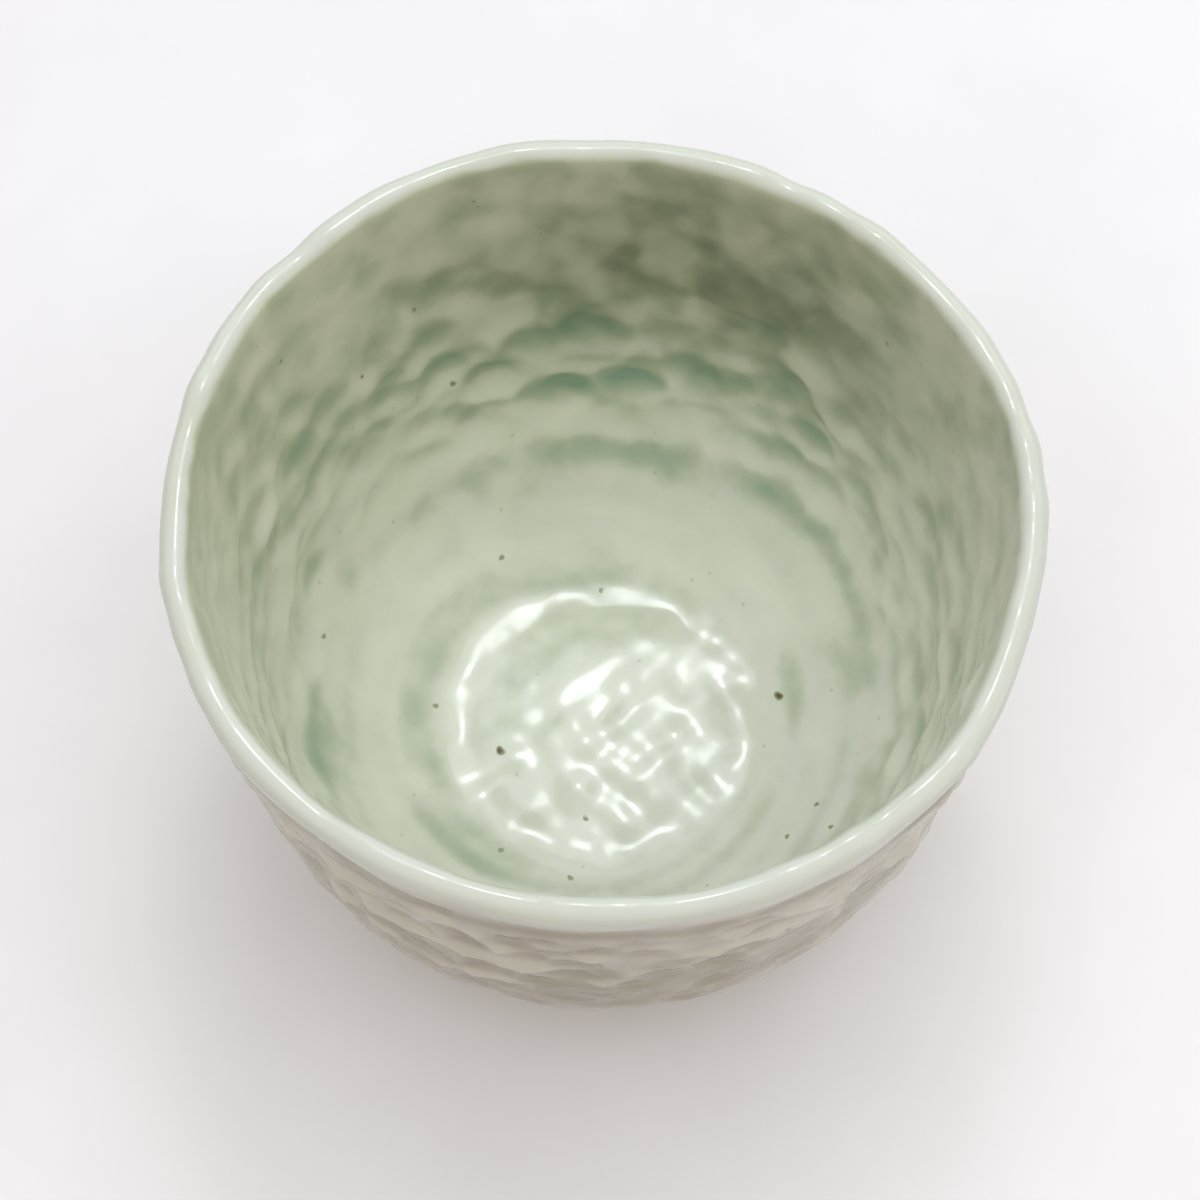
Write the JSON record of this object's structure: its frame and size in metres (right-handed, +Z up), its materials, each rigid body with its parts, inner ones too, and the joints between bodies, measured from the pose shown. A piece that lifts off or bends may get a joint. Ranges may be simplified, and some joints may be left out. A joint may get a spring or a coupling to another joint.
{
  "type": "tea bowl",
  "caption": "Deep round tea bowl with leaning walls, a rounded haunch, a low foot ring and a rounded lip, for holding and drinking hot tea.",
  "frame": {"origin": "on the bowl's axis, at the flat underside of the foot ring", "axes": "+Z up along the bowl's axis, out of the mouth; X and Y are alike, and the picture looks along +Y and down"},
  "size_m": [0.11, 0.11, 0.078],
  "materials": {
    "bare_porcelain": "fired, unglazed, fine matt",
    "celadon_glaze": "glossy pale grey-green celadon, greener where thick",
    "pale_lip_glaze": "glossy, thin and nearly white",
    "pooled_glaze": "glossy, thick and blue-green",
    "iron_speck": "dark brown iron spot under gloss"
  },
  "bodies": {
    "root": {"foot_ring": "bare_porcelain", "floor_disc": "bare_porcelain", "wall": "bare_porcelain", "inside_glaze": "celadon_glaze", "outside_glaze": "celadon_glaze", "lip_glaze": "pale_lip_glaze", "well_pool": "pooled_glaze", "iron_specks": "iron_speck"}
  },
  "joints": []
}
